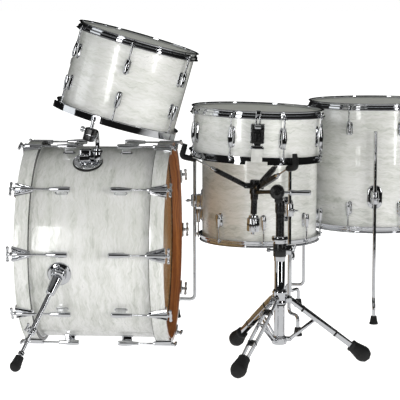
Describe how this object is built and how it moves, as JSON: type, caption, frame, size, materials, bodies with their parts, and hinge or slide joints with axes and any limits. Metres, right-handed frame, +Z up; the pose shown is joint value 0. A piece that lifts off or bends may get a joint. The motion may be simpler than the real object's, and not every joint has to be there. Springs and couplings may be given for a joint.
{
  "type": "acoustic drum kit",
  "caption": "Acoustic drum kit: bass drum carrying a rack tom on an arm, snare on a tripod stand and two legged floor toms, white pearl shells with chrome hardware.",
  "frame": {"origin": "centre of the kit's footprint on the floor", "axes": "+X along the bass drum from its front head towards the drummer, +Z up"},
  "size_m": [1.2873, 1.2893, 0.9501],
  "materials": {
    "pearl": "glossy marine pearl wrap",
    "chrome": "polished",
    "black": "gloss black",
    "skin": "coated film",
    "rubber": "moulded"
  },
  "bodies": {
    "kick": {"kick_shell": "pearl", "kick_front_hoop": "pearl", "kick_batter_hoop": "pearl", "kick_heads": "skin", "kick_lugs": "chrome", "kick_claws": "chrome", "kick_t_rods": "chrome", "kick_spur_brackets": "chrome", "mount_gasket": "rubber", "mount_base": "chrome"},
    "near_spur": {"near_spur_tube": "chrome"},
    "near_spur_end": {"near_spur_rod": "chrome"},
    "far_spur": {"far_spur_tube": "chrome"},
    "far_spur_end": {"far_spur_rod": "chrome"},
    "arm": {"tom_arm": "chrome"},
    "tilter": {"tom_tilter": "black"},
    "rack_tom": {"rack_shell": "pearl", "rack_hoops": "chrome", "rack_heads": "skin", "rack_lugs": "chrome", "rack_rods": "chrome", "rack_bracket": "chrome"},
    "stand": {"stand_base": "chrome", "leg_collar": "chrome", "stand_legs": "chrome", "stand_braces": "chrome", "stand_feet": "rubber", "height_clamp": "chrome"},
    "stand_tube": {"height_tube": "black"},
    "basket": {"basket_hub": "black"},
    "nut": {"basket_nut": "chrome"},
    "arm_left": {"arm_left": "black"},
    "arm_front": {"arm_front": "black"},
    "arm_rear": {"arm_rear": "black"},
    "snare": {"snare_shell": "pearl", "snare_batter_hoop": "chrome", "snare_side_hoop": "chrome", "snare_heads": "skin", "snare_lugs": "chrome", "snare_rods": "chrome", "strainer": "black", "snare_butt": "chrome"},
    "throw_off": {"strainer_lever": "chrome"},
    "wires": {"snare_wires": "chrome"},
    "small_stand": {"small_legs": "chrome", "small_feet": "rubber"},
    "small_drum": {"small_shell": "pearl", "small_hoops": "chrome", "small_heads": "skin", "small_lugs": "chrome", "small_rods": "chrome", "small_leg_brackets": "chrome"},
    "large_stand": {"large_legs": "chrome", "large_feet": "rubber"},
    "large_drum": {"large_shell": "pearl", "large_hoops": "chrome", "large_heads": "skin", "large_lugs": "chrome", "large_rods": "chrome", "large_leg_brackets": "chrome"}
  },
  "joints": [
    {"name": "near_spur_fold", "type": "hinge", "parent": "kick", "child": "near_spur", "pos_m": [-0.498, -0.45937, 0.23914], "axis": [0, 0.9833, 0.1822], "range_deg": [0, 80]},
    {"name": "near_spur_retract", "type": "slide", "parent": "near_spur", "child": "near_spur_end", "axis": [0.3432, 0.4957, 0.7978], "range_m": [0, 0.045]},
    {"name": "far_spur_fold", "type": "hinge", "parent": "kick", "child": "far_spur", "pos_m": [-0.498, 0.14337, 0.23914], "axis": [0, 0.9833, -0.1822], "range_deg": [0, 80]},
    {"name": "far_spur_retract", "type": "slide", "parent": "far_spur", "child": "far_spur_end", "axis": [0.3432, -0.4957, 0.7978], "range_m": [0, 0.045]},
    {"name": "arm_height", "type": "slide", "parent": "kick", "child": "arm", "axis": [0, 0, 1], "range_m": [0, 0.02]},
    {"name": "tom_tilt", "type": "hinge", "parent": "arm", "child": "tilter", "pos_m": [-0.39894, -0.51336, 0.63569], "axis": [0.0298, -0.9996, 0], "range_deg": [0, 14]},
    {"name": "rack_lift_off", "type": "slide", "parent": "tilter", "child": "rack_tom", "axis": [0.2756, 0, 0.9613], "range_m": [0, 0.06]},
    {"name": "stand_lift", "type": "slide", "parent": "kick", "child": "stand", "axis": [0, 0, 1], "range_m": [0, 0.01]},
    {"name": "stand_height", "type": "slide", "parent": "stand", "child": "stand_tube", "axis": [0, 0, 1], "range_m": [-0.05, 0.015]},
    {"name": "basket_tilt", "type": "hinge", "parent": "stand_tube", "child": "basket", "pos_m": [0.109, -0.42, 0.478], "axis": [0, 1, 0], "range_deg": [-2, 8]},
    {"name": "nut_turn", "type": "hinge", "parent": "basket", "child": "nut", "pos_m": [0.03786, -0.308, 0.37116], "axis": [0.0349, 0, 0.9994], "range_deg": [0, 720]},
    {"name": "arm_left_open", "type": "hinge", "parent": "basket", "child": "arm_left", "pos_m": [0.01677, -0.30974, 0.48196], "axis": [0.0697, -0.9976, -0.0024], "range_deg": [0, 8]},
    {"name": "arm_front_open", "type": "hinge", "parent": "basket", "child": "arm_front", "pos_m": [0.05567, -0.32873, 0.48061], "axis": [0.8285, 0.5592, -0.0289], "range_deg": [0, 8]},
    {"name": "arm_rear_open", "type": "hinge", "parent": "basket", "child": "arm_rear", "pos_m": [0.05265, -0.28553, 0.48071], "axis": [-0.8982, 0.4384, 0.0314], "range_deg": [0, 8]},
    {"name": "snare_lift_off", "type": "slide", "parent": "basket", "child": "snare", "axis": [0.0349, 0, 0.9994], "range_m": [0, 0.02]},
    {"name": "strainer_throw", "type": "hinge", "parent": "snare", "child": "throw_off", "pos_m": [0.05842, -0.50473, 0.66462], "axis": [0.998, 0.0523, -0.0349], "range_deg": [0, 80]},
    {"name": "wires_drop", "type": "slide", "parent": "snare", "child": "wires", "axis": [-0.0349, 0, -0.9994], "range_m": [0, 0.0019]},
    {"name": "small_lift", "type": "slide", "parent": "kick", "child": "small_stand", "axis": [0, 0, 1], "range_m": [0, 0.05]},
    {"name": "small_height", "type": "slide", "parent": "small_stand", "child": "small_drum", "axis": [0, 0, 1], "range_m": [-0.03, 0.05]},
    {"name": "large_lift", "type": "slide", "parent": "kick", "child": "large_stand", "axis": [0, 0, 1], "range_m": [0, 0.05]},
    {"name": "large_height", "type": "slide", "parent": "large_stand", "child": "large_drum", "axis": [0, 0, 1], "range_m": [-0.03, 0.05]}
  ],
  "couplings": [
    {"joint": "arm_left_open", "follows": "nut_turn", "ratio": 0.011111},
    {"joint": "arm_front_open", "follows": "nut_turn", "ratio": 0.011111},
    {"joint": "arm_rear_open", "follows": "nut_turn", "ratio": 0.011111},
    {"joint": "strainer_throw", "follows": "wires_drop", "rad_per_m": 734.88}
  ]
}
